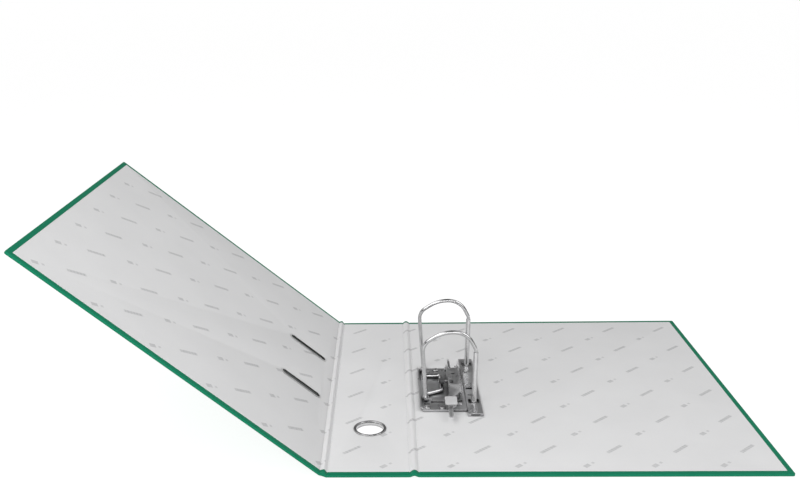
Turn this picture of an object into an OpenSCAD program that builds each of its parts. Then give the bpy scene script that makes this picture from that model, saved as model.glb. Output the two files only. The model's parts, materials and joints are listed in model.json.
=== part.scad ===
// Lever arch file for A4 paper, 70 mm wide spine, 80 mm hole pitch.
// It lies open on a table: back cover and spine flat, front cover leaning up on its fold.
// Sizes are in mm. Z is up and z = 0 is the table. The origin is the middle of the footprint.
// X runs from the front cover towards the back cover, Y towards the file's top edge.

/* [Covers] */
// height of the file, along the folds
file_height = 320; // [300:1:340]
// from a fold's hinge axis to the free edge of a cover
cover_width = 282; // [260:1:300]
// between the two hinge axes
spine_pitch = 69.3; // [45:0.1:90]
// angle of the front cover above the table
front_lift = 39.24; // [0:0.01:90]
// grey board core
board_t = 2.0; // [1.5:0.1:3]
// plastic cover film and paper lining, each
skin_t = 0.2; // [0.1:0.05:0.4]
// film turned over the edge of the board, seen inside
turn_in = 4.5; // [2:0.1:20]
// hinge axis to the edge of each board
fold_gap = 3.5; // [2.5:0.1:6]
// radius of a cover's outer corners
corner_r = 1.6; // [0.5:0.1:6]
// how far rivets, ring and label pocket stand out of the outer face
proud = 0.6; // [0.3:0.1:1]

/* [Folds] */
// outer radius of the ridge pressed along each fold
ridge_r = 3.4; // [2:0.1:5]
// thickness of the folded strip
ridge_t = 0.5; // [0.3:0.1:1]
// height of the ridge's centre under the middle of the boards
ridge_drop = 0.4; // [0:0.1:2]

/* [Finger ring] */
// clear hole radius
ring_hole_r = 11.2; // [9:0.1:14]
// flange radius
ring_flange_r = 14; // [12:0.1:18]
// centre of the ring above the file's bottom edge
ring_y = 75; // [60:1:100]

/* [Cover slots] */
// clear length of each slot
slot_l = 40; // [30:1:50]
// clear width of each slot
slot_w = 6.6; // [4.5:0.1:9]
// middle of a slot, from the hinge axis
slot_u = 33.6; // [25:0.1:45]
// width of the eyelet's rim
eyelet_rim = 2.2; // [1.5:0.1:4]

/* [Label] */
// card width
card_w = 51; // [30:1:60]
// card length
card_l = 154; // [100:1:200]
// from the file's top edge down to the card
card_drop = 14.4; // [8:0.1:40]

/* [Arches] */
// wire radius
wire_r = 1.7; // [1.2:0.05:2]
// middle of the two arches above the file's bottom edge
arch_mid = 160; // [140:1:180]
// pitch of the two arches
arch_pitch = 80; // [80:1:80]
// pivot shaft, from the hinge axis
shaft_x = 13.5; // [10:0.1:20]
// pivot shaft above the inner face of the cover
shaft_h = 4.0; // [3.6:0.1:5]
// reach of the crank
crank_x = 28.5; // [22:0.1:30]
// crown of the arch above the inner face of the cover
crown_h = 67; // [50:0.1:70]

/* [Posts] */
// post radius
post_r = 2.1; // [1.8:0.05:3]
// post foot, from the hinge axis
post_x = 54.8; // [50:0.1:60]
// post top, from the hinge axis
post_top_x = 55.8; // [50:0.1:60]
// top of the post above the inner face of the cover
post_h = 48.6; // [40:0.1:60]

/* [Lever] */
// pivot above the file's bottom edge
pivot_y = 178; // [170:0.5:190]
// pivot above the inner face of the cover
pivot_h = 7.6; // [6:0.1:12]
// from the pivot to the lever's tip
lever_l = 94; // [84:1:100]
// outer faces of the lever's cheeks, from the hinge axis
lever_x0 = 33.8; // [30:0.1:36]
lever_x1 = 44.4; // [40:0.1:50]
// roller radius
roller_r = 2.5; // [2:0.1:4]

/* [Hidden] */
$fn = 64;
eps = 0.05;
// stack of the boards, from the table up
z_out = proud;
z_core = z_out + skin_t;
z_top = z_core + board_t;
z_in = z_top + skin_t;
// hinge axes lie in the middle of the board
z_axis = (z_out + z_in) / 2;
half_t = (z_in - z_out) / 2;
// footprint: the raised cover's lower corner to the back cover's free edge
x_low = -spine_pitch - cover_width * cos(front_lift) - half_t * sin(front_lift);
x_mid = (x_low + cover_width) / 2;
y_mid = file_height / 2;
// mechanism levels
z_plate = z_in + 2;
z_rail = z_in + 2.3;
z_shaft = z_in + shaft_h;
z_pivot = z_in + pivot_h;
z_post = z_in + post_h;
y_near = arch_mid - arch_pitch / 2;
y_far = arch_mid + arch_pitch / 2;
spine_w = spine_pitch - 2 * fold_gap;
post_lean = atan((post_top_x - post_x) / (z_post - z_rail));
// roller's axis, from the pivot; it hangs a hair above the crank
roller_y = -28;
roller_z = z_shaft + wire_r + roller_r + 0.3 - z_pivot;
// rivets: shank, and the slack of the holes round it
shank_r = 1.5;
rivet_slack = 0.3;
// rivets' places, from the back hinge axis and the file's bottom edge
rivet_spots = [[14.4, 109], [27.3, 109], [25, 189], [53, 186]];
// pressed steel tray, from the same lines, and its sheet
tray_x0 = 10.2;
tray_x1 = 47.9;
tray_y0 = 105.2;
tray_y1 = 193;
tray_sheet = 0.8;
// slotted rail under the posts, and its sheet
rail_x0 = 48.1;
rail_x1 = 60.6;
rail_y0 = 97.5;
rail_y1 = 214;
rail_sheet = 0.6;
// depth of the socket in a post's top
socket_h = 12;
// arches' tips, from the back hinge axis: over the posts' tops
tip_x = 55.83;
// crank's corners above the file's bottom edge
crank_y = [132.6, 140.8, 172.4];

// which sub-part to draw

// ---------- places ----------

// back cover's own place: x = 0 on the back hinge axis, y = 0 at the bottom edge
module on_file() {
  translate([-x_mid, -y_mid, 0]) children();
}

// front cover's own place: x = 0 on its hinge axis, the cover runs to -x, z = 0 mid-board
module on_front() {
  on_file()
    translate([-spine_pitch, 0, z_axis])
      rotate([0, front_lift, 0])
        children();
}

// lever's own place: y = 0 and z = 0 on the pivot
module on_lever() {
  on_file() translate([0, pivot_y, z_pivot]) children();
}

// ---------- shared shapes ----------

module box(x0, x1, y0, y1, z0, z1) {
  translate([x0, y0, z0]) cube([x1 - x0, y1 - y0, z1 - z0]);
}

// rod along a row axis between two stations
module rod_x(x0, x1, y, z, r) {
  translate([x0, y, z]) rotate([0, 90, 0]) cylinder(r = r, h = x1 - x0);
}

module rod_y(y0, y1, x, z, r) {
  translate([x, y0, z]) rotate([-90, 0, 0]) cylinder(r = r, h = y1 - y0);
}

// rounded rectangle, centred
module round_rect(l, w, r) {
  square([l - 2 * r, w], center = true);
  square([l, w - 2 * r], center = true);
  for (i = [-1, 1], j = [-1, 1])
    translate([i * (l / 2 - r), j * (w / 2 - r)]) circle(r = r);
}

// slot with full-radius ends, centred
module slot_shape(l, w) {
  square([l - w, w], center = true);
  for (i = [-1, 1]) translate([i * (l - w) / 2, 0]) circle(r = w / 2);
}

// profile given in y and z, drawn along x
module along_x(x0, x1) {
  translate([x0, 0, 0])
    rotate([90, 0, 90])
      linear_extrude(height = x1 - x0) children();
}

// profile given in x and z, drawn along y
module along_y(y0, y1) {
  translate([0, y1, 0]) rotate([90, 0, 0]) linear_extrude(height = y1 - y0) children();
}

// cover outline from x = a to the free edge x = b, shrunk by m on its three free sides
module cover_outline(a, b, m, r) {
  x1 = b - m;
  y0 = m;
  y1 = file_height - m;
  translate([a, y0]) square([x1 - r - a, y1 - y0]);
  translate([a, y0 + r]) square([x1 - a, y1 - y0 - 2 * r]);
  for (y = [y0 + r, y1 - r]) translate([x1 - r, y]) circle(r = r);
}

// skin round a cover's board: outer sheet, edges and turn-in, open over the lining
module cover_skin() {
  difference() {
    linear_extrude(height = 2 * half_t) cover_outline(fold_gap, cover_width, 0, corner_r);
    translate([0, 0, skin_t])
      linear_extrude(height = board_t) cover_outline(fold_gap - 1, cover_width, skin_t, corner_r - skin_t);
    translate([0, 0, skin_t + board_t - eps])
      linear_extrude(height = 1) cover_outline(fold_gap - 1, cover_width, turn_in, 0.4);
  }
}

module cover_core() {
  translate([0, 0, skin_t])
    linear_extrude(height = board_t) cover_outline(fold_gap, cover_width, skin_t, corner_r - skin_t);
}

module cover_sheet() {
  translate([0, 0, skin_t + board_t])
    linear_extrude(height = skin_t) cover_outline(fold_gap, cover_width, turn_in, 0.4);
}

// ridge along a fold, on its hinge axis
module fold_ridge() {
  along_y(skin_t, file_height - skin_t)
    difference() {
      translate([0, -ridge_drop]) circle(r = ridge_r);
      translate([0, -ridge_drop]) circle(r = ridge_r - ridge_t);
      translate([-5, -10.5]) square([10, 11]);
    }
}

// bent wire in a plane: straight runs joined by arcs, through points p with bend radii b
function unit(v) = v / norm(v);
function turn(a, b) = atan2(a[0] * b[1] - a[1] * b[0], a[0] * b[0] + a[1] * b[1]);
function bend_at(p, i) = turn(unit(p[i] - p[i - 1]), unit(p[i + 1] - p[i]));
function cut(p, b, i) =
  (i == 0 || i == len(p) - 1) ? 0 : b[i] * tan(abs(bend_at(p, i)) / 2);

// the straight runs are a hair thinner, so that they end inside the arcs they join
module wire(p, b) {
  n = len(p);
  for (i = [0 : n - 2]) {
    d = unit(p[i + 1] - p[i]);
    from = p[i] + d * (cut(p, b, i) - (i > 0 ? 0.3 : 0));
    to = p[i + 1] - d * (cut(p, b, i + 1) - (i < n - 2 ? 0.3 : 0));
    translate([from[0], from[1], 0])
      rotate([0, 0, atan2(d[1], d[0])])
        rotate([0, 90, 0])
          cylinder(r = wire_r - 0.04, h = norm(to - from));
  }
  for (i = [1 : n - 2]) {
    d = unit(p[i] - p[i - 1]);
    a = bend_at(p, i);
    s = a > 0 ? 1 : -1;
    start = p[i] - d * cut(p, b, i);
    middle = start + s * b[i] * [-d[1], d[0]];
    translate([middle[0], middle[1], 0])
      rotate([0, 0, atan2(d[1], d[0]) - 90 + (s > 0 ? 0 : 180) + (s > 0 ? 0 : a)])
        rotate_extrude(angle = abs(a))
          translate([b[i], 0]) circle(r = wire_r);
  }
}

// ---------- back cover ----------

module rivet_holes() {
  for (s = rivet_spots)
    translate([s[0], s[1], -5]) cylinder(r = shank_r + rivet_slack, h = 20);
}

module back_board() {
  color([0.66, 0.65, 0.62])
    on_file()
      difference() {
        translate([0, 0, z_out]) cover_core();
        rivet_holes();
      }
}

module back_wrap() {
  color([0.02, 0.48, 0.34])
    on_file()
      difference() {
        translate([0, 0, z_out]) cover_skin();
        rivet_holes();
      }
}

module back_lining() {
  color([0.86, 0.86, 0.86])
    on_file()
      difference() {
        translate([0, 0, z_out]) cover_sheet();
        rivet_holes();
      }
}

// pressed steel tray that carries the arches and the lever: a hollow box, open below
module base_plate() {
  color([0.5, 0.5, 0.5])
    on_file()
      difference() {
        union() {
          box(tray_x0, tray_x1, tray_y0, tray_y1, z_in, z_plate);
          // slanted flange beside the arches
          along_y(107, 191)
            polygon([[10.8, z_in + 0.8], [10.8, z_plate], [8.5, z_plate + 1.9], [7.7, z_plate + 1.3]]);
          // low bump under the lever's stem
          intersection() {
            rod_x(38, 44, 116.6, z_plate - 0.9, 2);
            box(37, 45, 110, 125, z_plate - 0.4, z_plate + 3);
          }
        }
        // hollow under the sheet, and a gap in its near wall
        box(tray_x0 + tray_sheet, tray_x1 - tray_sheet, tray_y0 + tray_sheet, tray_y1 - tray_sheet,
            z_in - 1, z_plate - tray_sheet);
        box(36.2, 45.4, tray_y0 - 1.2, tray_y0 + 1.2, z_in - 1, z_plate - tray_sheet);
        // windows in the top: two beside the near arch, one under the lever, one beside its stem
        box(11.6, 16.6, 114, 119.2, z_in, z_plate + 1);
        box(17.8, 28.8, 118.2, 122.8, z_in, z_plate + 1);
        box(34, 44, 132, 164, z_in, z_plate + 1);
        box(40.2, 45, 119.5, 124.5, z_in, z_plate + 1);
        rivet_holes();
      }
}

// hollow rail under the posts, slotted on top, with a framed opening at its near end
module post_rail() {
  rail_mid = 54.35;
  color([0.5, 0.5, 0.5])
    on_file()
      difference() {
        union() {
          box(rail_x0, rail_x1, rail_y0, rail_y1, z_in, z_rail);
          // frame round the near opening
          box(rail_x0 - 0.1, rail_x1 + 0.2, rail_y0 - 1, rail_y0 + 0.4, z_in, z_rail + 0.35);
          // rounded swelling before the near post
          intersection() {
            rod_y(99.5, 113, rail_mid - 0.1, z_rail - 2, 3.3);
            box(40, 70, 90, 120, z_rail - eps, z_rail + 5);
          }
        }
        // hollow, open at the far end, and the near opening
        box(rail_x0 + rail_sheet, rail_x1 - rail_sheet, rail_y0 + 1.1, rail_y1 + 1,
            z_in + rail_sheet, z_rail - rail_sheet);
        box(50.5, 58.3, rail_y0 - 1.5, rail_y0 + 2.5, z_in + 0.8, z_rail - 0.5);
        // a slot at each side of each post
        for (y = [y_near, y_far]) {
          box(50, 52.4, y - 2.6, y + 6, z_rail - 1, z_rail + 1);
          box(57.2, 59.4, y - 2.6, y + 6, z_rail - 1, z_rail + 1);
        }
        // two cross slots between the posts
        box(49.7, 59.6, 145.8, 149.6, z_rail - 1, z_rail + 1);
        box(50.6, 58.6, 133.2, 134.8, z_rail - 1, z_rail + 1);
        rivet_holes();
      }
}

// rivet from the outer face through board and base, with a head at each end
module rivet(i, z_seat) {
  s = rivet_spots[i];
  color([0.75, 0.75, 0.76])
    on_file()
      translate([s[0], s[1], 0]) {
        cylinder(r = 4, h = proud);
        cylinder(r = shank_r, h = z_seat + 0.5);
        translate([0, 0, z_seat]) cylinder(r = 2.8, h = 0.7);
        translate([0, 0, z_seat + 0.7]) cylinder(r = 2.1, h = 0.4);
      }
}

module rivet_a() {
  rivet(0, z_plate);
}

module rivet_b() {
  rivet(1, z_plate);
}

module rivet_c() {
  rivet(2, z_plate);
}

module rivet_d() {
  rivet(3, z_rail);
}

// straight post with a collar at its foot and a socket for the arch's tip
module post(y) {
  color([0.75, 0.75, 0.76])
    on_file()
      translate([post_x, y, z_rail])
        difference() {
          union() {
            cylinder(r = post_r + 0.25, h = 1);
            rotate([0, post_lean, 0])
              translate([0, 0, 0.2]) cylinder(r = post_r, h = z_post - z_rail - 0.2);
          }
          rotate([0, post_lean, 0])
            translate([0, 0, z_post - z_rail - socket_h]) cylinder(r = wire_r, h = 20);
        }
}

module near_post() {
  post(y_near);
}

module far_post() {
  post(y_far);
}

// U-shaped bracket for the lever, with a slanted upright stop behind it
module lever_bracket() {
  x0 = lever_x0 + 1.6;
  x1 = lever_x1 - 1.6;
  z_stop = z_in + 12.4;
  color([0.45, 0.45, 0.45])
    on_file()
      difference() {
        union() {
          box(x0, x1, 173.4, 189.6, z_plate, z_plate + 1);
          for (x = [x0, x1 - 1]) {
            box(x, x + 1, pivot_y - 3.2, pivot_y + 3.2, z_plate, z_pivot);
            rod_x(x, x + 1, pivot_y, z_pivot, 3.2);
          }
          along_y(186, 189)
            polygon([[36.2, z_plate], [39.6, z_plate], [37.4, z_stop], [35.6, z_stop]]);
          rod_y(186, 189, 36.5, z_stop, 0.9);
        }
        rod_x(30, 50, pivot_y, z_pivot, 1.55);
      }
}

module lever_pin() {
  color([0.75, 0.75, 0.76])
    on_file() {
      rod_x(lever_x0 - 0.4, lever_x1 + 0.4, pivot_y, z_pivot, 1.5);
      rod_x(lever_x0 - 1.1, lever_x0 - 0.3, pivot_y, z_pivot, 2.4);
      rod_x(lever_x1 + 0.3, lever_x1 + 1.1, pivot_y, z_pivot, 2.4);
    }
}

// strap that holds the arches' shaft down on the tray
module shaft_strap(y) {
  color([0.5, 0.5, 0.5])
    on_file()
      difference() {
        union() {
          rod_y(y, y + 5, shaft_x, z_shaft, 2.8);
          box(shaft_x - 2.8, shaft_x + 2.8, y, y + 5, z_plate, z_shaft);
          box(shaft_x, shaft_x + 6, y, y + 5, z_plate, z_plate + 0.8);
        }
        rod_y(y - 1, y + 6, shaft_x, z_shaft, wire_r + 0.06);
        box(shaft_x - 5, shaft_x + 5, y - 1, y + 6, z_plate - 4, z_plate);
      }
}

module near_strap() {
  shaft_strap(crank_y[0] - 8.1);
}

module far_strap() {
  shaft_strap(crank_y[2] + 11.6);
}

module back_hinge_strip() {
  color([0.86, 0.86, 0.86])
    on_file() translate([0, 0, z_axis]) fold_ridge();
}

// ---------- spine ----------

module ring_hole(r) {
  translate([-spine_pitch / 2, ring_y, -5]) cylinder(r = r, h = 20);
}

module spine_board() {
  color([0.66, 0.65, 0.62])
    on_file()
      difference() {
        box(-spine_pitch + fold_gap, -fold_gap, skin_t, file_height - skin_t, z_core, z_top);
        ring_hole(ring_hole_r + 0.8);
      }
}

module spine_wrap() {
  color([0.02, 0.48, 0.34])
    on_file()
      difference() {
        box(-spine_pitch + fold_gap, -fold_gap, 0, file_height, z_out, z_in);
        box(-80, 0, skin_t, file_height - skin_t, z_core, z_top);
        box(-80, 0, turn_in, file_height - turn_in, z_top - eps, z_in + 1);
        ring_hole(ring_hole_r + 0.8);
      }
}

module spine_lining() {
  color([0.86, 0.86, 0.86])
    on_file()
      difference() {
        box(-spine_pitch + fold_gap, -fold_gap, turn_in, file_height - turn_in, z_top, z_in);
        ring_hole(ring_hole_r + 0.8);
      }
}

// outer half of the finger ring: flange on the outer face and barrel through the spine
module finger_ring() {
  color([0.75, 0.75, 0.76])
    on_file()
      difference() {
        translate([-spine_pitch / 2, ring_y, 0]) {
          cylinder(r = ring_flange_r, h = proud);
          cylinder(r = ring_hole_r + 0.5, h = z_in + 0.8);
        }
        ring_hole(ring_hole_r);
      }
}

// inner half, pressed over the barrel
module finger_ring_collar() {
  r_in = ring_hole_r + 0.8;
  r_out = ring_flange_r;
  color([0.75, 0.75, 0.76])
    on_file()
      translate([-spine_pitch / 2, ring_y, z_in])
        rotate_extrude() {
          translate([r_in, 0]) square([r_out - r_in - 0.05, 0.45]);
          translate([r_in, 0]) square([r_out - r_in - 0.45, 0.9]);
          translate([r_out - 0.45, 0.45]) circle(r = 0.45);
        }
}

card_x = -spine_pitch / 2;
card_y1 = file_height - card_drop;
card_y0 = card_y1 - card_l;

// clear pocket welded to the outer face of the spine, open at the top
module label_pocket() {
  x0 = card_x - card_w / 2 - 2;
  x1 = card_x + card_w / 2 + 2;
  color([0.8, 0.85, 0.85, 0.4])
    on_file()
      difference() {
        box(x0, x1, card_y0 - 2, card_y1 + 2.4, 0, z_out);
        box(x0 + 1.5, x1 - 1.5, card_y0 - 0.5, file_height, 0.15, z_out);
      }
}

module front_hinge_strip() {
  color([0.86, 0.86, 0.86])
    on_file()
      translate([-spine_pitch, 0, z_axis])
        rotate([0, front_lift / 2, 0]) fold_ridge();
}

module label_card() {
  color([0.93, 0.93, 0.96])
    on_file()
      box(card_x - card_w / 2, card_x + card_w / 2, card_y0, card_y1, 0.2, 0.5);
}

// ---------- front cover ----------

// the cover's own parts are drawn as for the back cover, then mirrored to the other side
module front_place() {
  on_front() translate([0, 0, -half_t]) mirror([1, 0, 0]) children();
}

module slot_holes(grow) {
  for (y = [y_near, y_far])
    translate([slot_u, y, -5])
      linear_extrude(height = 20) slot_shape(slot_l + 2 * grow, slot_w + 2 * grow);
}

module front_board() {
  color([0.66, 0.65, 0.62])
    front_place()
      difference() {
        cover_core();
        slot_holes(0.9);
      }
}

module front_wrap() {
  color([0.02, 0.48, 0.34])
    front_place()
      difference() {
        cover_skin();
        slot_holes(0.9);
      }
}

module front_lining() {
  color([0.86, 0.86, 0.86])
    front_place()
      difference() {
        cover_sheet();
        slot_holes(0.9);
      }
}

// metal eyelet: rim on the outer face, sleeve through the board, thin lip inside
module slot_eyelet(y) {
  color([0.75, 0.75, 0.76])
    front_place()
      translate([slot_u, y, 0])
        difference() {
          union() {
            translate([0, 0, -proud])
              linear_extrude(height = proud)
                round_rect(slot_l + 2 * eyelet_rim, slot_w + 2 * eyelet_rim, 4);
            translate([0, 0, -proud])
              linear_extrude(height = proud + 2 * half_t)
                slot_shape(slot_l + 1.2, slot_w + 1.2);
            translate([0, 0, 2 * half_t])
              linear_extrude(height = 0.4)
                slot_shape(slot_l + 2.4, slot_w + 2.4);
          }
          translate([0, 0, -2]) linear_extrude(height = 8) slot_shape(slot_l, slot_w);
        }
}

module near_slot_eyelet() {
  slot_eyelet(y_near);
}

module far_slot_eyelet() {
  slot_eyelet(y_far);
}

// ---------- arches ----------

// one length of wire: two arches, the shaft between them and the crank in its middle
module arch_wire() {
  crown = z_in + crown_h;
  profile = [
    [shaft_x, z_shaft], [10.1, crown - 11.2], [27.3, crown],
    [47.8, crown], [tip_x, crown - 16], [tip_x, z_post + 0.4]
  ];
  bends = [0, 11.5, 30, 17.5, 5, 0];
  crank = [
    [shaft_x, y_near], [shaft_x, crank_y[0]], [crank_x, crank_y[1]],
    [crank_x, crank_y[2]], [shaft_x, crank_y[2]], [shaft_x, y_far]
  ];
  color([0.75, 0.75, 0.76])
    on_file() {
      for (y = [y_near, y_far])
        translate([0, y, 0]) {
          rotate([90, 0, 0]) wire(profile, bends);
          translate([shaft_x, 0, z_shaft]) sphere(r = wire_r);
          translate([tip_x, 0, z_post - 0.6]) cylinder(r1 = 0.8, r2 = wire_r, h = 1);
        }
      translate([0, 0, z_shaft]) wire(crank, [0, 2.5, 2.5, 2.5, 2.5, 0]);
    }
}

// ---------- lever ----------

// two cheeks on the pivot, joined by a pierced top that narrows to a flat stem
module lever() {
  cheek = [[0, -4.2], [0, 4.2], [-10, 4.6], [-42, 4], [-50, 0.5], [-50, -2.6], [-36, -4.4]];
  top = [[-8, 3.7], [-8, 4.6], [-42, 4], [-50, 0.9], [-50, -0.1], [-41.6, 3.1]];
  stem = [[-48, 1.6], [-48, 0.6], [-lever_l, -2.6], [-lever_l, -1.6]];
  plan = [[34.2, -44], [44, -44], [42.4, -53], [38.6, -59], [38.6, -76], [35.2, -80], [35.2, -lever_l + 1],
          [34.2, -lever_l], [32.2, -lever_l], [31.4, -lever_l + 1], [31.4, -62], [33.2, -54]];
  color([0.55, 0.55, 0.55])
    on_lever()
      difference() {
        union() {
          for (x = [lever_x0, lever_x1 - 0.8])
            along_x(x, x + 0.8) {
              polygon(cheek);
              circle(r = 4.2);
            }
          along_x(lever_x0, lever_x1) polygon(top);
          intersection() {
            along_x(29, 46) polygon(stem);
            translate([0, 0, -10]) linear_extrude(height = 20) polygon(plan);
          }
        }
        rod_x(30, 50, 0, 0, 1.55);
        translate([39.2, -19, 0]) cylinder(r = 1.9, h = 10);
        box(35, 38.4, -38.5, -31.5, 0, 10);
      }
}

// flat thumb rest fixed on the stem
module thumb_pad() {
  color([0.8, 0.8, 0.8])
    on_lever()
      translate([34.4, -68.2, 0.27])
        rotate([3.98, 0, 0])
          translate([0, 0, -0.04])
            linear_extrude(height = 1.2) round_rect(10.4, 13.5, 1.6);
}

module roller_pin() {
  color([0.75, 0.75, 0.76])
    on_lever() {
      rod_x(25.4, lever_x0, roller_y, roller_z, 1);
      rod_x(25.4, 26, roller_y, roller_z, 1.7);
    }
}

module roller() {
  color([0.25, 0.25, 0.25])
    on_lever()
      difference() {
        rod_x(26.4, 30.8, roller_y, roller_z, roller_r);
        rod_x(25, 32, roller_y, roller_z, 1.06);
      }
}

// ---------- drawing ----------

back_board();
back_wrap();
back_lining();
base_plate();
post_rail();
rivet_a();
rivet_b();
rivet_c();
rivet_d();
near_post();
far_post();
lever_bracket();
lever_pin();
near_strap();
far_strap();
back_hinge_strip();
spine_board();
spine_wrap();
spine_lining();
finger_ring();
finger_ring_collar();
label_pocket();
front_hinge_strip();
label_card();
front_board();
front_wrap();
front_lining();
near_slot_eyelet();
far_slot_eyelet();
arch_wire();
lever();
thumb_pad();
roller_pin();
roller();
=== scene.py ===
"""Looks of the lever arch file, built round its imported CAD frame."""

import json
import math

import bmesh
import bpy
from mathutils import Matrix, Vector

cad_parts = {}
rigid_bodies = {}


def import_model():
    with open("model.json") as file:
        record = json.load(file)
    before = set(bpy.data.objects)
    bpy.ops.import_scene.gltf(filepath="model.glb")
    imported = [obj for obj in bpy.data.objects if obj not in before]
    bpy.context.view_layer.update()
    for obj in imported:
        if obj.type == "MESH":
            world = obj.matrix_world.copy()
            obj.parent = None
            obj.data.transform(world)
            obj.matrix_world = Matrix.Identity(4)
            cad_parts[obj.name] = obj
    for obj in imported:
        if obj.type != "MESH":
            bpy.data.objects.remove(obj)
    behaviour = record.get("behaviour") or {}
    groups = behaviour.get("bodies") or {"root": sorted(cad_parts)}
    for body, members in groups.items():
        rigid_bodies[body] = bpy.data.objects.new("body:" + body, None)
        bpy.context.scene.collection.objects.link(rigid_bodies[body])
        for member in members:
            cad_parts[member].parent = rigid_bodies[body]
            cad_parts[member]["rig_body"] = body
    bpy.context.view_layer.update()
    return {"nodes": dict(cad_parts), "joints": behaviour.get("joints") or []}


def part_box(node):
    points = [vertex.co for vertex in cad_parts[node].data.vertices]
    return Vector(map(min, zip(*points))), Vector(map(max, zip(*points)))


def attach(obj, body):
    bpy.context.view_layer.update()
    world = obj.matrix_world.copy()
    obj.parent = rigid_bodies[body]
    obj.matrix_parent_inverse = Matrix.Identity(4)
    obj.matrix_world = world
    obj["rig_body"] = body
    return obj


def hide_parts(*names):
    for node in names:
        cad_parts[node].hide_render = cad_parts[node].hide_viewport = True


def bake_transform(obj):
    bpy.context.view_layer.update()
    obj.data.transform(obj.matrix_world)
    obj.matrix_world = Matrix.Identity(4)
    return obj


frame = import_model()

# ---------- measures taken from the frame; millimetres unless a name says otherwise ----------

MM = 0.001
JOINTS = {j["name"]: j for j in frame["joints"]}
BACK_AXIS = Vector(JOINTS["spine_fold"]["pos_m"])
FRONT_AXIS = Vector(JOINTS["cover_fold"]["pos_m"])
LIFT = -math.radians(JOINTS["cover_fold"]["range_deg"][0])
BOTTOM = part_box("back_wrap")[0].y


def from_axis(point):
    """A row point in millimetres from the back hinge axis, the file's bottom edge and the table."""
    return Vector(((point[0] - BACK_AXIS.x) / MM, (point[1] - BOTTOM) / MM, point[2] / MM))


def cad(node):
    """Low and high corner of a CAD node's box at rest."""
    low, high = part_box(node)
    return from_axis(low), from_axis(high)


HEIGHT = cad("back_wrap")[1].y
WIDTH = cad("back_wrap")[1].x
Z_OUT, Z_IN = cad("back_wrap")[0].z, cad("back_wrap")[1].z
Z_MID = BACK_AXIS.z / MM
HALF = (Z_IN - Z_OUT) / 2
PITCH = (BACK_AXIS.x - FRONT_AXIS.x) / MM
TURN_IN = cad("back_lining")[0].y
# thickness of the lining paper
PAPER = 0.14

FILE = Matrix.Translation((BACK_AXIS.x, BOTTOM, 0)) @ Matrix.Scale(MM, 4)
# the front cover's own place: x is minus the distance from its hinge, z = 0 on its outer face
FRONT = (
    Matrix.Translation((FRONT_AXIS.x, BOTTOM, FRONT_AXIS.z))
    @ Matrix.Rotation(LIFT, 4, "Y")
    @ Matrix.Scale(MM, 4)
    @ Matrix.Translation((0, 0, -HALF))
)

# ---------- materials ----------


class Nodes:
    """A small way to write a material's node tree."""

    def __init__(self, name):
        self.mat = bpy.data.materials.new(name)
        self.mat.use_nodes = True
        self.tree = self.mat.node_tree
        self.shader = self.tree.nodes["Principled BSDF"]
        self.coords = self.add("ShaderNodeTexCoord")

    def add(self, kind, inputs=None, **settings):
        node = self.tree.nodes.new(kind)
        for key, value in settings.items():
            setattr(node, key, value)
        for key, value in (inputs or {}).items():
            self.put(node.inputs[key], value)
        return node

    def put(self, socket, value):
        if isinstance(value, bpy.types.NodeSocket):
            self.tree.links.new(value, socket)
        else:
            socket.default_value = value

    def math(self, operation, a, b=0.0, c=0.0, clamp=False):
        node = self.add("ShaderNodeMath", operation=operation, use_clamp=clamp)
        for socket, value in zip(node.inputs, (a, b, c)):
            self.put(socket, value)
        return node.outputs[0]

    def noise(self, scale, detail=2.0, rough=0.5, stretch=None, vector=None):
        vector = vector or self.coords.outputs["Object"]
        if stretch:
            vector = self.add("ShaderNodeMapping", {"Vector": vector, "Scale": stretch}).outputs[0]
        node = self.add(
            "ShaderNodeTexNoise",
            {"Vector": vector, "Scale": scale, "Detail": detail, "Roughness": rough},
        )
        return node.outputs["Fac"]

    def spread(self, value, low, high, start=0.3, end=0.7):
        node = self.add(
            "ShaderNodeMapRange",
            {"Value": value, "From Min": start, "From Max": end, "To Min": low, "To Max": high},
        )
        return node.outputs[0]

    def mix(self, factor, a, b):
        node = self.add("ShaderNodeMix", data_type="RGBA")
        for socket, value in zip((node.inputs[0], node.inputs[6], node.inputs[7]), (factor, a, b)):
            self.put(socket, value)
        return node.outputs[2]

    def bump(self, height, distance, strength=1.0, normal=None):
        inputs = {"Height": height, "Distance": distance, "Strength": strength}
        if normal:
            inputs["Normal"] = normal
        return self.add("ShaderNodeBump", inputs).outputs[0]

    def painted_occlusion_shade(self, reach, deepest, start=0.05, end=0.75):
        """Painted shade from the occlusion node: 1 in the open, falling to the given level in slots and
        under overhangs.
        """
        node = self.add("ShaderNodeAmbientOcclusion", {"Distance": reach}, samples=8)
        return self.spread(node.outputs["AO"], deepest, 1.0, start, end)

    def facing(self, axis, side, face):
        """The first value on faces turned aside from an axis, the second on faces turned along it."""
        node = self.add(
            "ShaderNodeVectorMath", {0: self.coords.outputs["Normal"], 1: axis}, operation="DOT_PRODUCT"
        )
        return self.spread(self.math("ABSOLUTE", node.outputs["Value"]), side, face, 0.35, 0.85)

    def darken(self, colour, level):
        node = self.add("ShaderNodeMix", data_type="RGBA", blend_type="MULTIPLY")
        parts = {"Red": level, "Green": level, "Blue": level}
        grey = self.add("ShaderNodeCombineColor", parts).outputs[0]
        for socket, value in zip((node.inputs[0], node.inputs[6], node.inputs[7]), (1.0, colour, grey)):
            self.put(socket, value)
        return node.outputs[2]

    def done(self, **inputs):
        for key, value in inputs.items():
            self.put(self.shader.inputs[key.replace("_", " ")], value)
        return self.mat


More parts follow.
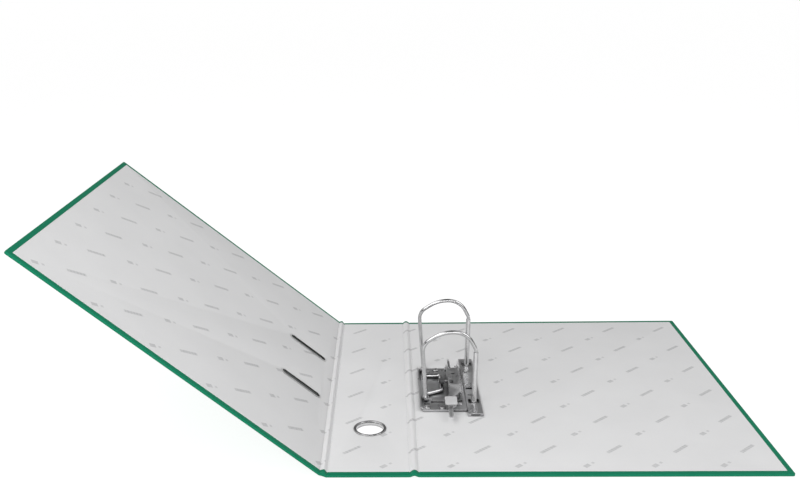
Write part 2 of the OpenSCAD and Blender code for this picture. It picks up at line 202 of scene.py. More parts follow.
def film_material():
    """Satin polypropylene film with a fine pressed grain."""
    n = Nodes("cover_film")
    grain = n.noise(2600, 3, 0.55)
    pores = n.add(
        "ShaderNodeTexVoronoi", {"Vector": n.coords.outputs["Object"], "Scale": 1500}
    ).outputs["Distance"]
    drift = n.noise(14, 3)
    colour = n.mix(n.spread(drift, 0, 1), (0.003, 0.180, 0.092, 1), (0.005, 0.200, 0.104, 1))
    colour = n.mix(n.spread(grain, 0.0, 0.08), colour, (0.02, 0.27, 0.16, 1))
    rough = n.math("ADD", n.spread(n.noise(60, 4), 0.34, 0.44), n.math("MULTIPLY", grain, 0.06))
    normal = n.bump(n.math("ADD", n.math("MULTIPLY", pores, 0.6), grain), 0.00003, 0.35)
    normal = n.bump(n.noise(9, 2), 0.0004, 0.12, normal)
    return n.done(Base_Color=colour, Roughness=rough, Normal=normal, IOR=1.49, Specular_IOR_Level=0.12)


# the print on the lining repeats on one lattice, in millimetres from the back hinge axis
PRINT_STEP = (51.4, 51.1)
PRINT_FROM = (3.2, 38.9)
PRINT_SLOPE = math.radians(42)
# each mark's place in the lattice, half its length, half its width and how dark it is
PRINT_MARKS = (
    ((0, 0), 9.0, 1.6, 0.95),
    ((25.0, 25.0), 3.0, 2.0, 0.8),
    ((30.2, 29.4), 1.3, 1.2, 0.6),
)


def paper_print(n):
    """How much grey print lies at a point of the lining: slanting bars and small lozenges."""
    uv = n.add("ShaderNodeSeparateXYZ", {"Vector": n.coords.outputs["UV"]})
    c, s = math.cos(PRINT_SLOPE), math.sin(PRINT_SLOPE)
    total = None
    for shift, half_long, half_wide, weight in PRINT_MARKS:
        local = []
        for axis in (0, 1):
            value = n.math("DIVIDE", uv.outputs[axis], MM)
            value = n.math("SUBTRACT", value, PRINT_FROM[axis] + shift[axis])
            value = n.math("DIVIDE", value, PRINT_STEP[axis])
            value = n.math("ADD", value, 0.5)
            value = n.math("SUBTRACT", value, n.math("FLOOR", value))
            local.append(n.math("MULTIPLY", n.math("SUBTRACT", value, 0.5), PRINT_STEP[axis]))
        along = n.math("ADD", n.math("MULTIPLY", local[0], c), n.math("MULTIPLY", local[1], s))
        across = n.math("SUBTRACT", n.math("MULTIPLY", local[1], c), n.math("MULTIPLY", local[0], s))
        a = n.math("DIVIDE", n.math("ABSOLUTE", along), half_long)
        b = n.math("DIVIDE", n.math("ABSOLUTE", across), half_wide)
        inside = n.spread(n.math("MAXIMUM", a, b), weight, 0.0, 0.86, 1.06)
        if not shift[0]:
            # the bar is printed as a row of short strokes
            wave = n.math("SINE", n.math("MULTIPLY", along, 2.1))
            inside = n.math("MULTIPLY", inside, n.spread(wave, 0.62, 1.0, -0.7, 0.4))
        total = inside if total is None else n.math("ADD", total, inside)
    return total


def lining_material():
    """Matt paper with soft fibres and faint grey print, with painted shade where parts stand close over
    it.
    """
    n = Nodes("lining_paper")
    fibre = n.noise(900, 4, 0.6, (1, 0.35, 1))
    cloud = n.noise(18, 3)
    colour = n.mix(n.spread(cloud, 0, 1), (0.745, 0.745, 0.75, 1), (0.775, 0.775, 0.78, 1))
    colour = n.mix(n.spread(fibre, 0, 0.10), colour, (0.66, 0.66, 0.66, 1))
    ink = n.math("MULTIPLY", paper_print(n), n.spread(n.noise(500, 2), 0.28, 0.42))
    colour = n.mix(ink, colour, (0.10, 0.10, 0.11, 1))
    # painted shade: the paper is darkened under and beside the mechanism and in its openings
    colour = n.darken(colour, n.painted_occlusion_shade(0.005, 0.12))
    normal = n.bump(fibre, 0.00003, 0.5)
    normal = n.bump(n.noise(26, 2), 0.0003, 0.16, normal)
    return n.done(Base_Color=colour, Roughness=n.spread(fibre, 0.70, 0.82), Normal=normal, IOR=1.4)


def chrome_material(name="nickel_steel", axis=None):
    """Bright nickel with faint polishing lines and clouds, and painted shade in its crevices.

    Given an axis, faces along it are dull and painted pale as painted light, and the walls beside it are
    painted dark as painted shade.
    """
    n = Nodes(name)
    cloud = n.noise(160, 4)
    colour = n.mix(n.spread(cloud, 0, 1), (0.52, 0.52, 0.525, 1), (0.63, 0.63, 0.635, 1))
    # painted shade: darker in crevices, slots and under overhangs
    colour = n.darken(colour, n.painted_occlusion_shade(0.008, 0.06))
    scratch = n.noise(1800, 3, 0.6, (1, 1, 0.12))
    rough = n.math("ADD", n.spread(cloud, 0.09, 0.17), n.math("MULTIPLY", scratch, 0.05))
    if axis:
        # painted light on faces along the axis, painted shade on the walls beside it
        colour = n.mix(n.facing(axis, 0.0, 1.0), (0.12, 0.12, 0.12, 1), (0.95, 0.95, 0.95, 1))
        colour = n.darken(colour, n.spread(cloud, 0.85, 1.0))
        rough = n.math("ADD", rough, n.facing(axis, 0.05, 0.35))
    return n.done(
        Base_Color=colour, Metallic=1.0, Roughness=rough, Normal=n.bump(scratch, 0.00001, 0.25)
    )


def steel_material():
    """Plated sheet steel: satin, with rolling lines along the file, and painted shade in its recesses."""
    n = Nodes("zinc_steel")
    cloud = n.noise(95, 4, 0.6)
    roll = n.noise(700, 4, 0.6, (1, 0.06, 1))
    colour = n.mix(n.spread(cloud, 0, 1), (0.56, 0.56, 0.57, 1), (0.68, 0.68, 0.69, 1))
    colour = n.mix(n.spread(roll, 0, 0.25), colour, (0.76, 0.76, 0.76, 1))
    # painted shade: darker in slots, recesses and under overhangs
    colour = n.darken(colour, n.painted_occlusion_shade(0.006, 0.03, 0.15))
    rough = n.math("ADD", n.spread(cloud, 0.20, 0.33), n.math("MULTIPLY", roll, 0.08))
    return n.done(
        Base_Color=colour, Metallic=1.0, Roughness=rough, Normal=n.bump(roll, 0.00002, 0.3)
    )


def clear_material():
    """Clear pocket film, slightly wavy."""
    n = Nodes("clear_film")
    wave = n.noise(55, 3)
    colour = n.mix(n.spread(wave, 0, 1), (0.86, 0.90, 0.90, 1), (0.93, 0.96, 0.96, 1))
    return n.done(
        Base_Color=colour,
        Roughness=n.spread(n.noise(240, 3), 0.06, 0.14),
        Normal=n.bump(wave, 0.0003, 0.2),
        Alpha=0.22,
        IOR=1.49,
    )


# two rules and a bar at the top of the label, and a bar at its foot: u and v ranges and ink
LABEL_MARKS = (
    (0.26, 0.74, 0.935, 0.939, (0.16, 0.20, 0.34, 1)),
    (0.26, 0.66, 0.922, 0.926, (0.16, 0.20, 0.34, 1)),
    (0.26, 0.74, 0.898, 0.912, (0.60, 0.05, 0.06, 1)),
    (0.30, 0.70, 0.045, 0.064, (0.06, 0.10, 0.26, 1)),
)


def card_material():
    """White label card with a plain printed layout."""
    n = Nodes("label_paper")
    fibre = n.noise(1200, 4, 0.6)
    colour = n.mix(n.spread(fibre, 0, 1), (0.80, 0.81, 0.85, 1), (0.86, 0.87, 0.90, 1))
    uv = n.add("ShaderNodeSeparateXYZ", {"Vector": n.coords.outputs["UV"]})
    for u0, u1, v0, v1, ink in LABEL_MARKS:
        inside = n.math("GREATER_THAN", uv.outputs[0], u0)
        inside = n.math("MULTIPLY", inside, n.math("LESS_THAN", uv.outputs[0], u1))
        inside = n.math("MULTIPLY", inside, n.math("GREATER_THAN", uv.outputs[1], v0))
        inside = n.math("MULTIPLY", inside, n.math("LESS_THAN", uv.outputs[1], v1))
        colour = n.mix(n.math("MULTIPLY", inside, n.spread(fibre, 0.75, 0.95)), colour, ink)
    return n.done(
        Base_Color=colour, Roughness=n.spread(fibre, 0.45, 0.6), Normal=n.bump(fibre, 0.00002, 0.3)
    )


def pad_material():
    """Light grey moulded plastic with a fine spark grain."""
    n = Nodes("pad_plastic")
    grain = n.noise(3000, 3, 0.6)
    cloud = n.noise(120, 3)
    colour = n.mix(n.spread(cloud, 0, 1), (0.56, 0.56, 0.565, 1), (0.63, 0.63, 0.635, 1))
    return n.done(
        Base_Color=colour,
        Roughness=n.spread(grain, 0.38, 0.52),
        Normal=n.bump(grain, 0.00003, 0.4),
        IOR=1.5,
    )


def roller_material():
    """Dark moulded plastic."""
    n = Nodes("roller_plastic")
    grain = n.noise(2200, 3, 0.6)
    colour = n.mix(n.spread(grain, 0, 1), (0.045, 0.045, 0.047, 1), (0.075, 0.075, 0.078, 1))
    return n.done(
        Base_Color=colour, Roughness=n.spread(grain, 0.3, 0.45), Normal=n.bump(grain, 0.00002, 0.3)
    )


MATERIALS = {
    "cover_film": film_material(),
    "lining_paper": lining_material(),
    "nickel_steel": chrome_material(),
    "zinc_steel": steel_material(),
    "clear_film": clear_material(),
    "label_paper": card_material(),
    "pad_plastic": pad_material(),
    "roller_plastic": roller_material(),
}

# the eyelets look along the front cover's own z; along it their nickel is painted pale as painted light,
# and beside it dark as painted shade
COVER_AXIS = (math.sin(LIFT), 0, math.cos(LIFT))
EYELET_NICKEL_PAINTED_LIGHT_SHADE = chrome_material("nickel_steel_painted_light_shade", COVER_AXIS)

# ---------- mesh helpers ----------


def piece(name, mesh, slot, body=None, replaces=(), smooth_deg=40):
    """Links a mesh as a named piece with its finish. A piece without a body is attached to none."""
    obj = bpy.data.objects.new(name, mesh)
    bpy.context.scene.collection.objects.link(obj)
    mesh.materials.clear()
    mesh.materials.append(MATERIALS[slot])
    mesh.shade_smooth()
    mesh.set_sharp_from_angle(angle=math.radians(smooth_deg))
    if replaces:
        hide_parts(*replaces)
    if body:
        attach(obj, body)
    return obj


def mesh_of(name, verts, faces, place):
    mesh = bpy.data.meshes.new(name)
    mesh.from_pydata([place @ Vector(v) for v in verts], [], faces)
    bm = bmesh.new()
    bm.from_mesh(mesh)
    bmesh.ops.recalc_face_normals(bm, faces=bm.faces)
    bm.to_mesh(mesh)
    bm.free()
    return mesh


def arc(cx, cy, r, a0, a1, n):
    """Points of an arc from one angle to another, in degrees."""
    return [
        (cx + r * math.cos(math.radians(a0 + (a1 - a0) * i / n)),
         cy + r * math.sin(math.radians(a0 + (a1 - a0) * i / n)))
        for i in range(n + 1)
    ]


def rounded(x0, x1, y0, y1, radii, n=8):
    """Closed outline, anticlockwise from the low corner; radii are for the corners in that order."""
    ra, rb, rc, rd = radii
    return (
        arc(x0 + ra, y0 + ra, ra, 180, 270, n) + arc(x1 - rb, y0 + rb, rb, 270, 360, n)
        + arc(x1 - rc, y1 - rc, rc, 0, 90, n) + arc(x0 + rd, y1 - rd, rd, 90, 180, n)
    )


def stadium(cx, cy, length, width, n=16):
    """A slot's outline, with round ends."""
    r = width / 2
    d = length / 2 - r
    return arc(cx + d, cy, r, -90, 90, n) + arc(cx - d, cy, r, 90, 270, n)


def plate_mesh(name, loops, z0, z1, edge):
    """Flat plate with rounded edges: the first loop is its outline and the others are holes."""
    curve = bpy.data.curves.new(name, "CURVE")
    curve.dimensions = "2D"
    curve.fill_mode = "BOTH"
    curve.bevel_depth = edge
    curve.bevel_resolution = 3
    curve.extrude = (z1 - z0) / 2 - edge
    curve.offset = -edge
    for k, loop in enumerate(loops):
        points = loop if k == 0 else loop[::-1]
        spline = curve.splines.new("POLY")
        spline.points.add(len(points) - 1)
        for p, (x, y) in zip(spline.points, points):
            p.co = (x, y, 0, 1)
        spline.use_cyclic_u = True
    obj = bpy.data.objects.new(name + "_curve", curve)
    bpy.context.scene.collection.objects.link(obj)
    mesh = bpy.data.meshes.new_from_object(obj.evaluated_get(bpy.context.evaluated_depsgraph_get()))
    bpy.data.objects.remove(obj)
    bpy.data.curves.remove(curve)
    mesh.name = name
    bm = bmesh.new()
    bm.from_mesh(mesh)
    bmesh.ops.remove_doubles(bm, verts=bm.verts, dist=1e-4)
    bmesh.ops.transform(bm, matrix=Matrix.Translation((0, 0, (z0 + z1) / 2)), verts=bm.verts)
    bmesh.ops.recalc_face_normals(bm, faces=bm.faces)
    bm.to_mesh(mesh)
    bm.free()
    return mesh


def write_uv(mesh, uvs):
    """Writes a UV map from one u and v for each vertex."""
    layer = mesh.uv_layers.get("UVMap") or mesh.uv_layers.new(name="UVMap")
    for loop in mesh.loops:
        layer.data[loop.index].uv = uvs[loop.vertex_index]


def lathe_mesh(name, profile, place, n=64, closed=False):
    """Turns a profile of (radius, height) points about z."""
    verts, faces = [], []
    for i in range(n):
        a = 2 * math.pi * i / n
        verts += [(r * math.cos(a), r * math.sin(a), z) for r, z in profile]
    m = len(profile)
    for i in range(n):
        for k in range(m if closed else m - 1):
            a, b = i * m + k, i * m + (k + 1) % m
            c, d = ((i + 1) % n) * m + (k + 1) % m, ((i + 1) % n) * m + k
            faces.append((a, b, c, d))
    mesh = mesh_of(name, verts, faces, place)
    bm = bmesh.new()
    bm.from_mesh(mesh)
    bmesh.ops.remove_doubles(bm, verts=bm.verts, dist=1e-7)
    bmesh.ops.recalc_face_normals(bm, faces=bm.faces)
    bm.to_mesh(mesh)
    bm.free()
    return mesh


def bent_path(points, radii, step_deg=7):
    """A line through points with its corners rounded, as close points in space."""
    out = [Vector(points[0])]
    for i in range(1, len(points) - 1):
        p = Vector(points[i])
        a = (Vector(points[i - 1]) - p).normalized()
        b = (Vector(points[i + 1]) - p).normalized()
        turn = math.pi - a.angle(b)
        cut = radii[i] * math.tan(turn / 2)
        centre = p + (a + b).normalized() * (radii[i] / math.cos(turn / 2))
        start, end = p + a * cut - centre, p + b * cut - centre
        n = max(2, round(math.degrees(turn) / step_deg))
        axis = start.cross(end).normalized()
        out += [centre + Matrix.Rotation(turn * k / n, 3, axis) @ start for k in range(n + 1)]
    return out + [Vector(points[-1])]


def tube_mesh(name, path, radius, place, n=20):
    """A round wire along a path; radius is a function of the distance from the nearer end."""
    runs = [0.0]
    for a, b in zip(path, path[1:]):
        runs.append(runs[-1] + (b - a).length)
    tangents = [
        (path[min(i + 1, len(path) - 1)] - path[max(i - 1, 0)]).normalized() for i in range(len(path))
    ]
    side = tangents[0].orthogonal().normalized()
    verts, faces = [], []
    for i, (p, t) in enumerate(zip(path, tangents)):
        side = (side - t * side.dot(t)).normalized()
        up = t.cross(side)
        r = radius(min(runs[i], runs[-1] - runs[i]))
        for k in range(n):
            a = 2 * math.pi * k / n
            verts.append(p + (side * math.cos(a) + up * math.sin(a)) * r)
    for i in range(len(path) - 1):
        for k in range(n):
            faces.append((i * n + k, i * n + (k + 1) % n, (i + 1) * n + (k + 1) % n, (i + 1) * n + k))
    faces.append(tuple(range(n)))
    faces.append(tuple(range((len(path) - 1) * n, len(path) * n)))
    return mesh_of(name, verts, faces, place)


def refined(node, slot, edge, segments=2, name=None):
    """A finer twin of a CAD node: the same shape with its sharp edges rounded."""
    source = frame["nodes"][node]
    bm = bmesh.new()
    bm.from_mesh(source.data)
    bmesh.ops.remove_doubles(bm, verts=bm.verts, dist=2e-6)
    flat, sharp_from = math.radians(0.8), math.radians(38)
    bmesh.ops.dissolve_limit(bm, angle_limit=flat, verts=bm.verts, edges=bm.edges, delimit=set())
    sharp = [e for e in bm.edges if len(e.link_faces) == 2 and e.calc_face_angle(0) > sharp_from]
    bmesh.ops.bevel(
        bm, geom=sharp, offset=edge * MM, segments=segments, profile=0.5, affect="EDGES",
        clamp_overlap=True,
    )
    bmesh.ops.recalc_face_normals(bm, faces=bm.faces)
    mesh = bpy.data.meshes.new(name or node + "_fine")
    bm.to_mesh(mesh)
    bm.free()
    return piece(name or node + "_fine", mesh, slot, source["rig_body"], [node])

# ---------- covers: film and lining ----------

# roundness of the film over the boards' edges, and of the paper's own edge
EDGE_R = 0.5
PAPER_EDGE = 0.04
# how far the lining lies sunk in the film's upper face
SUNK = 0.04
# a fold bends this far each side of its hinge, and laps over the covers a little further
FOLD_HALF = 4.0
FOLD_OVER = 4.7
# the covers' film starts just past the bend, and the folds' ends lie behind the covers' ends,
# so that no two faces share a plane
FILM_FROM = FOLD_HALF + 0.05
END_IN = 0.04
CORNER = 1.6

RING_LOW, RING_HIGH = cad("finger_ring")
RING_X, RING_Y = (RING_LOW.x + RING_HIGH.x) / 2, (RING_LOW.y + RING_HIGH.y) / 2
RING_R = 11.2
SLOT_U, SLOT_L, SLOT_W = 33.6, 40.0, 6.6
SLOT_YS = (120.0, 200.0)
# the holes in film and paper are this much larger than the slots and the finger ring
SLEEVE = 0.9


def panel(name, old, body, outline, lining, holes, place, base, shift):
    """One stiff panel: film round its board, and the lining, whose print is shifted along the sheet."""
    top = base + 2 * HALF
    film = plate_mesh(name + "_film", [outline, *holes], base, top - PAPER + SUNK, EDGE_R)
    film.transform(place)
    piece(name + "_film", film, "cover_film", body, [old + "_wrap", old + "_board"], 30)
    paper = plate_mesh(name + "_paper", [lining, *holes], top - PAPER, top, PAPER_EDGE)
    write_uv(paper, [((shift + v.co.x) * MM, v.co.y * MM) for v in paper.vertices])
    paper.transform(place)
    piece(name + "_paper", paper, "lining_paper", body, [old + "_lining"], 30)


def covers():
    """Back cover, spine and front cover, each laid out from its own hinge axis."""
    inner, outer = TURN_IN, HEIGHT - TURN_IN
    panel(
        "back_cover", "back", "back_cover",
        rounded(FILM_FROM, WIDTH, 0, HEIGHT, (0.3, CORNER, CORNER, 0.3)),
        rounded(FOLD_HALF, WIDTH - TURN_IN, inner, outer, (0.1, 0.5, 0.5, 0.1)),
        [], FILE, Z_OUT, 0,
    )
    panel(
        "spine_panel", "spine", "spine",
        rounded(FILM_FROM - PITCH, -FILM_FROM, 0, HEIGHT, (0.3,) * 4),
        rounded(FOLD_HALF - PITCH, -FOLD_HALF, inner, outer, (0.1,) * 4),
        [arc(RING_X, RING_Y, RING_R + SLEEVE, 0, 360, 64)[:-1]], FILE, Z_OUT, 0,
    )
    panel(
        "front_cover", "front", "front_cover",
        rounded(-WIDTH, -FILM_FROM, 0, HEIGHT, (CORNER, 0.3, 0.3, CORNER)),
        rounded(-WIDTH + TURN_IN, -FOLD_HALF, inner, outer, (0.5, 0.1, 0.1, 0.5)),
        [stadium(-SLOT_U, y, SLOT_L + 2 * SLEEVE, SLOT_W + 2 * SLEEVE) for y in SLOT_YS],
        FRONT, 0, -PITCH,
    )


# ---------- folds ----------

RIDGE_TOP = cad("back_hinge_strip")[1].z - Z_MID
RIDGE_HALF = 3.5
# the paper dips this far beside the ridge, and comes back to the covers' face over this width
RIDGE_DIP = 0.28
DIP_RETURN = 0.8
GROOVE_HALF = 3.7
GROOVE_DEPTH = 1.1
# how many steps a fold has across and along
FOLD_ACROSS, FOLD_ALONG = 56, 24


def smooth(t):
    t = min(1, max(0, t))
    return t * t * (3 - 2 * t)


def ridge_height(x, depth, rise):
    """Inner face of the fold above the middle of the boards, depth under the paper's face."""
    dip = HALF - RIDGE_DIP
    if abs(x) < RIDGE_HALF:
        height = dip + (RIDGE_TOP + rise - dip) * (1 - (x / RIDGE_HALF) ** 2) ** 1.3
    else:
        height = dip + (HALF - dip) * smooth((abs(x) - RIDGE_HALF) / DIP_RETURN)
    return height - depth


def groove_height(x):
    """Outer face of the fold: a shallow channel, a hair proud of the covers at its edges."""
    turn = math.pi * min(abs(x), GROOVE_HALF) / GROOVE_HALF
    return -HALF - 0.02 + GROOVE_DEPTH * (1 + math.cos(turn)) / 2


def bend_point(x, y, h, hinge_x, lift):
    """A point of a fold in the file's place, with x measured from the hinge towards the back cover."""
    a = lift * smooth((FOLD_HALF - x) / (2 * FOLD_HALF))
    return (hinge_x + x * math.cos(a) + h * math.sin(a), y, Z_MID - x * math.sin(a) + h * math.cos(a))


def fold_stations():
    return [-FOLD_OVER + 2 * FOLD_OVER * i / FOLD_ACROSS for i in range(FOLD_ACROSS + 1)]


def fold_mesh(name, rings):
    """Joins equal rings, each an upper row of points and a lower row back, and closes both ends."""
    m = len(rings[0])
    verts = [point for ring in rings for point in ring]
    faces = []
    for i in range(len(rings) - 1):
        for k in range(m):
            a, b = i * m + k, i * m + (k + 1) % m
            faces.append((a, b, b + m, a + m))
    for base in (0, (len(rings) - 1) * m):
        for k in range(m // 2 - 1):
            faces.append((base + k, base + k + 1, base + m - 2 - k, base + m - 1 - k))
    return mesh_of(name, verts, faces, FILE)


def fold_film(name, hinge_x, lift, rise):
    """The film over a fold, with its two ends rounded."""
    xs = fold_stations()
    steps = 6
    rounding = []
    for k in range(steps + 1):
        a = math.pi / 2 * k / steps
        rounding.append((END_IN + EDGE_R * (1 - math.cos(a)), EDGE_R * (1 - math.sin(a))))
    stations = rounding + [(HEIGHT * k / FOLD_ALONG, 0.0) for k in range(1, FOLD_ALONG)]
    stations += [(HEIGHT - y, shrink) for y, shrink in reversed(rounding)]
    rings = []
    for y, shrink in stations:
        ring = [(x, ridge_height(x, PAPER - 0.06, rise) - shrink) for x in xs]
        ring += [(x, groove_height(x) + shrink) for x in reversed(xs)]
        rings.append([bend_point(x, y, h, hinge_x, lift) for x, h in ring])
    return fold_mesh(name, rings)


def fold_paper(name, hinge_x, lift, rise):
    """The lining over a fold's ridge, a hair proud of the covers' lining, with its print running on."""
    xs = fold_stations()
    ring = [(x, ridge_height(x, -0.02, rise)) for x in xs]
    ring += [(x, ridge_height(x, PAPER, rise)) for x in reversed(xs)]
    length = HEIGHT - 2 * TURN_IN
    ys = [TURN_IN + length * k / FOLD_ALONG for k in range(FOLD_ALONG + 1)]
    mesh = fold_mesh(name, [[bend_point(x, y, h, hinge_x, lift) for x, h in ring] for y in ys])
    write_uv(mesh, [((hinge_x + x) * MM, y * MM) for y in ys for x, h in ring])
    return mesh


def fold(name, node, hinge_x, lift, rise):
    """Film and paper over one hinge, shaped in their bend at rest and attached to no body."""
    film = fold_film(name + "_film", hinge_x, lift, rise)
    obj = piece(name + "_film", film, "cover_film", None, [node], 50)
    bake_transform(obj)
    paper = fold_paper(name + "_paper", hinge_x, lift, rise)
    obj = piece(name + "_paper", paper, "lining_paper", None, [node], 50)
    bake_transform(obj)


def folds():
    # in the photo the ridge stands higher where the front cover leans up
    fold("back_fold", "back_hinge_strip", 0.0, 0.0, 0.0)
    fold("front_fold", "front_hinge_strip", -PITCH, LIFT, 0.8)


# ---------- finger ring and label ----------

# radius of the rolled edges of the ring's flange and washer
ROLL_R = 0.45


def finger_ring():
    """Flange and barrel on the outer face, and the washer pressed on inside; radius and height."""
    place = FILE @ Matrix.Translation((RING_X, RING_Y, 0))
    flange = [(RING_R, 0.55)]
    for a in (0.3, 0.8, 1.2, 1.57):
        flange.append((RING_R + ROLL_R * (1 - math.cos(a)), ROLL_R * (1 - math.sin(a))))
    flange += [(12.4, 0.0), (13.2, 0.06)]
    for a in (0.2, 0.6, 1.0, 1.4, 1.57):
        flange.append((13.55 + ROLL_R * math.sin(a), 0.5 - 0.44 * math.cos(a)))
    flange += [(14.0, 0.6), (11.75, 0.6), (11.75, 3.3), (12.0, 3.55), (11.9, 3.78), (11.6, 3.8)]
    flange += [(11.35, 3.7), (RING_R, 3.45)]
    rim = lathe_mesh("finger_ring_rim", flange, place, 96, True)
    piece("finger_ring_rim", rim, "nickel_steel", "spine", ["finger_ring"], 60)

    washer = [(12.05, 3.0), (13.45, 3.0)]
    for a in (-0.4, 0, 0.4, 0.8, 1.2, 1.57):
        washer.append((13.1 + ROLL_R * math.cos(a), 3.4 + ROLL_R * math.sin(a)))
    washer += [(12.6, 3.88), (12.2, 3.78), (12.05, 3.6)]
    collar = lathe_mesh("finger_ring_washer", washer, place, 96, True)
    piece("finger_ring_washer", collar, "nickel_steel", "spine", ["finger_ring_collar"], 60)


def label():
    """The printed card, read from outside, and its clear pocket."""
    low, high = cad("label_card")
    outline = rounded(low.x, high.x, low.y, high.y, (0.6,) * 4)
    card = plate_mesh("label_insert", [outline], low.z, high.z, 0.06)
    size = high - low
    uvs = [(1 - (v.co.x - low.x) / size.x, (v.co.y - low.y) / size.y) for v in card.vertices]
    write_uv(card, uvs)
    card.transform(FILE)
    piece("label_insert", card, "label_paper", "label", ["label_card"], 30)
    refined("label_pocket", "clear_film", 0.06, name="label_window")


# ---------- eyelets and mechanism ----------

# CAD nodes drawn again with rounded edges: finish, radius in millimetres and steps of the rounding
FINE_NODES = (
    ("base_plate", "zinc_steel", 0.22, 3),
    ("post_rail", "zinc_steel", 0.2, 3),
    ("near_strap", "zinc_steel", 0.15, 2),
    ("far_strap", "zinc_steel", 0.15, 2),
    ("lever_bracket", "zinc_steel", 0.18, 2),
    ("lever_pin", "nickel_steel", 0.2, 3),
    ("lever", "zinc_steel", 0.16, 2),
    ("thumb_pad", "pad_plastic", 0.45, 4),
    ("roller_pin", "nickel_steel", 0.12, 2),
    ("roller", "roller_plastic", 0.25, 3),
    ("rivet_a", "nickel_steel", 0.3, 4),
    ("rivet_b", "nickel_steel", 0.3, 4),
    ("rivet_c", "nickel_steel", 0.3, 4),
    ("rivet_d", "nickel_steel", 0.3, 4),
)


def fine_parts():
    for node in ("near_slot_eyelet", "far_slot_eyelet"):
        eyelet = refined(node, "nickel_steel", 0.22, 3)
        # the eyelets take the nickel with painted light on their faces and painted shade on their walls
        eyelet.data.materials[0] = EYELET_NICKEL_PAINTED_LIGHT_SHADE
    for node, slot, edge, segments in FINE_NODES:
        refined(node, slot, edge, segments)


SHAFT = Vector(JOINTS["arch_swing"]["pos_m"])
SHAFT_X, SHAFT_Z = (SHAFT.x - BACK_AXIS.x) / MM, SHAFT.z / MM
WIRE_R = 1.7
TIP_X = 55.83
CRANK_X = 28.5
CRANK_YS = (132.6, 140.8, 172.4)
CROWN = cad("arch_wire")[1].z - WIRE_R
POST_TOP = cad("near_post")[1].z
# bends of one arch, from its tip to the shaft, and of the crank's corners
ARCH_BENDS = [0, 5, 17.5, 30, 11.5, 2.6]
CRANK_BENDS = [2.5] * 4


def arch_half(y):
    """Corners of one arch from its tip down to the shaft."""
    return [
        (TIP_X, y, POST_TOP - 0.7), (TIP_X, y, CROWN - 16), (47.8, y, CROWN), (27.3, y, CROWN),
        (10.1, y, CROWN - 11.2), (SHAFT_X, y, SHAFT_Z),
    ]


def arches():
    """Both arches, their shaft and the crank in its middle, as one wire with pointed tips."""
    near_y, middle_y, far_y = CRANK_YS
    crank = [(SHAFT_X, far_y), (CRANK_X, far_y), (CRANK_X, middle_y), (SHAFT_X, near_y)]
    corners = arch_half(SLOT_YS[1]) + [(x, y, SHAFT_Z) for x, y in crank] + arch_half(SLOT_YS[0])[::-1]
    path = bent_path(corners, ARCH_BENDS + CRANK_BENDS + ARCH_BENDS[::-1], 5)
    # one more point near each tip, so that only the tip tapers
    point_l = 0.65
    path.insert(1, path[0] + (path[1] - path[0]).normalized() * point_l)
    path.insert(-1, path[-1] + (path[-2] - path[-1]).normalized() * point_l)
    mesh = tube_mesh("arch_pair", path, lambda s: min(WIRE_R, 0.8 + 1.4 * s), FILE, 28)
    piece("arch_pair", mesh, "nickel_steel", "arches", ["arch_wire"], 50)


# axis of a post at its foot and at its top: x from the back hinge axis, z above the table
POST_FOOT, POST_HEAD = (54.8, 5.3), (55.8, 51.6)
POST_R = 2.1
SOCKET_DEPTH = 12


def post(node, y):
    """A leaning tube with a collar at its foot, and a rounded rim round its socket."""
    foot, top = Vector((POST_FOOT[0], y, POST_FOOT[1])), Vector((POST_HEAD[0], y, POST_HEAD[1]))
    length = (top - foot).length
    lean = Matrix.Rotation(math.atan2(top.x - foot.x, top.z - foot.z), 4, "Y")
    profile = [(0, 0.05), (2.3, 0.05), (2.35, 0.2), (2.35, 0.75), (2.2, 0.95), (POST_R, 1.15)]
    rim = [(POST_R, 0.3), (2.06, 0.12), (1.97, 0.02), (1.85, 0), (1.76, 0.03), (WIRE_R, 0.15)]
    profile += [(r, length - down) for r, down in rim]
    profile += [(WIRE_R, length - SOCKET_DEPTH), (0, length - SOCKET_DEPTH - 0.3)]
    mesh = lathe_mesh(node + "_tube", profile, FILE @ Matrix.Translation(foot) @ lean, 40)
    piece(node + "_tube", mesh, "nickel_steel", "back_cover", [node], 50)


# ---------- floor, light, camera ----------


def floor_material():
    """Pale studio paper that stays nearly white in shadow."""
    n = Nodes("studio_paper")
    grain = n.noise(300, 3)
    colour = n.mix(n.spread(grain, 0, 1), (0.20, 0.20, 0.20, 1), (0.22, 0.22, 0.22, 1))
    return n.done(
        Base_Color=colour,
        Roughness=n.spread(grain, 0.9, 1.0),
        Emission_Color=(1, 1, 1, 1),
        Emission_Strength=0.89,
    )


def studio_floor():
    reach = 30
    corners = [(-reach, -reach, 0), (reach, -reach, 0), (reach, reach, 0), (-reach, reach, 0)]
    mesh = bpy.data.meshes.new("floor")
    mesh.from_pydata(corners, [], [(0, 1, 2, 3)])
    floor = bpy.data.objects.new("floor", mesh)
    bpy.context.scene.collection.objects.link(floor)
    mesh.materials.append(floor_material())


class Sky:
    """A small way to write the world's node tree."""

    def __init__(self):
        self.world = bpy.data.worlds.new("studio")
        self.world.use_nodes = True
        self.tree = self.world.node_tree
        coords = self.tree.nodes.new("ShaderNodeTexCoord")
        self.split = self.tree.nodes.new("ShaderNodeSeparateXYZ")
        self.tree.links.new(coords.outputs["Generated"], self.split.inputs[0])

    def math(self, operation, a, b):
        node = self.tree.nodes.new("ShaderNodeMath")
        node.operation = operation
        for socket, value in zip(node.inputs, (a, b)):
            if isinstance(value, bpy.types.NodeSocket):
                self.tree.links.new(value, socket)
            else:
                socket.default_value = value
        return node.outputs[0]

    def ramp(self, value, stops):
        """Brightness against a direction's part along one axis."""
        ramp = self.tree.nodes.new("ShaderNodeValToRGB")
        self.tree.links.new(value, ramp.inputs[0])
        while len(ramp.color_ramp.elements) < len(stops):
            ramp.color_ramp.elements.new(0.5)
        for element, (at, level) in zip(ramp.color_ramp.elements, stops):
            element.position = at
            element.color = (level, level, level, 1)
        return ramp.outputs[0]


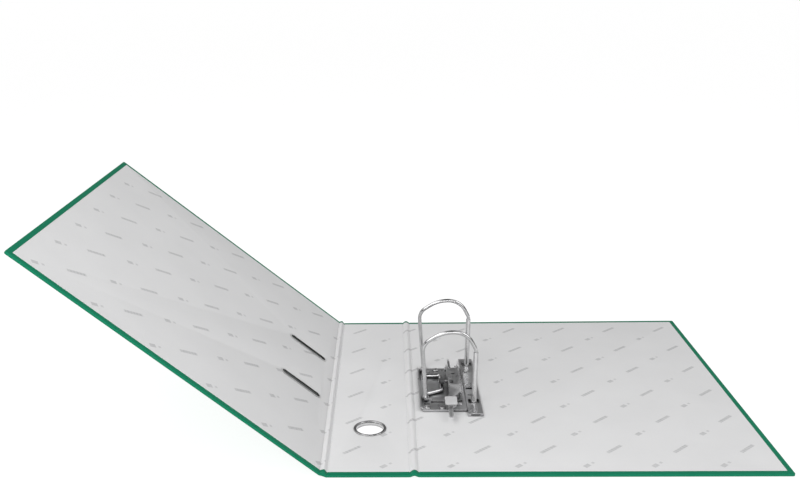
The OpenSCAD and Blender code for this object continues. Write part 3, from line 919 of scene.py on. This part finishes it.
def studio_sky():
    """A bright dome with a dark gap overhead and a dark horizon, and pale walls left, right and behind."""
    sky = Sky()
    x, y, z = (sky.split.outputs[axis] for axis in "XYZ")
    dome = sky.ramp(z, [(0.0, 0.45), (0.04, 0.08), (0.45, 0.08), (0.62, 0.60), (1.0, 0.66)])
    low = sky.ramp(z, [(0.0, 1.0), (0.35, 1.0), (0.55, 0.0), (1.0, 0.0)])
    across = sky.math("MULTIPLY", sky.math("ADD", x, 1.0), 0.5)
    overhead = [(0.0, 1.0), (0.38, 1.0), (0.47, 0.15), (0.53, 0.15), (0.62, 1.0), (1.0, 1.0)]
    dome = sky.math("MULTIPLY", dome, sky.ramp(across, overhead))
    left_and_right = [(0.0, 0.9), (0.07, 0.9), (0.11, 0.0), (0.89, 0.0), (0.93, 0.2), (1.0, 0.2)]
    sides = sky.ramp(across, left_and_right)
    back = sky.ramp(y, [(0.0, 0.0), (0.5, 0.0), (0.8, 0.20), (1.0, 0.20)])
    walls = sky.math("MULTIPLY", sky.math("ADD", sides, back), low)
    background = sky.tree.nodes["Background"]
    sky.tree.links.new(sky.math("ADD", dome, walls), background.inputs["Color"])
    background.inputs["Strength"].default_value = 0.98
    bpy.context.scene.world = sky.world


def softbox(name, at, target, size, power, colour=(1, 1, 1)):
    light = bpy.data.lights.new(name, "AREA")
    light.shape = "RECTANGLE"
    light.size, light.size_y = size
    light.energy = power
    light.color = colour
    obj = bpy.data.objects.new(name, light)
    obj.location = at
    obj.rotation_euler = (Vector(target) - Vector(at)).to_track_quat("-Z", "Y").to_euler()
    bpy.context.scene.collection.objects.link(obj)


# the camera's place was solved from the open file's corners in the photo
CAMERA_AT = Vector((-0.014765, -0.794, 0.3666))
CAMERA_TURN = (17.79, -1.87, -1.10)
SENSOR = 36.0
# focal length over the picture's width, and the picture's offset in widths
FOCAL = 953.0 / 800
OFFSET = (0.05125, 0.0385)


def studio_camera():
    pitch, yaw, roll = (math.radians(v) for v in CAMERA_TURN)
    ahead = Vector((math.sin(yaw) * math.cos(pitch), math.cos(yaw) * math.cos(pitch), -math.sin(pitch)))
    level = Vector((math.cos(yaw), -math.sin(yaw), 0))
    upright = level.cross(ahead)
    right = level * math.cos(roll) + upright * math.sin(roll)
    up = -level * math.sin(roll) + upright * math.cos(roll)
    data = bpy.data.cameras.new("camera")
    data.sensor_width = SENSOR
    data.lens = FOCAL * SENSOR
    data.shift_x, data.shift_y = OFFSET
    data.clip_start, data.clip_end = 0.02, 100
    camera = bpy.data.objects.new("camera", data)
    bpy.context.scene.collection.objects.link(camera)
    turn = Matrix((right, up, -ahead)).transposed().to_4x4()
    camera.matrix_world = Matrix.Translation(CAMERA_AT) @ turn
    bpy.context.scene.camera = camera


# ---------- the file on its stage ----------

covers()
folds()
finger_ring()
label()
fine_parts()
arches()
post("near_post", SLOT_YS[0])
post("far_post", SLOT_YS[1])

studio_floor()
studio_sky()
softbox("key", (-0.52, -0.64, 0.78), (0, -0.05, 0), (0.6, 0.7), 3.9)
softbox("right", (0.80, -0.36, 0.70), (0.05, 0, 0), (0.5, 0.6), 2.6)
softbox("front", (0.05, -0.95, 0.42), (0.05, -0.1, 0), (0.6, 0.25), 2.2)
softbox("left", (-0.75, 0.35, 1.2), (0, 0, 0), (0.8, 0.8), 2.6, (1.0, 0.995, 0.985))
studio_camera()
bpy.context.scene.view_settings.view_transform = "Standard"
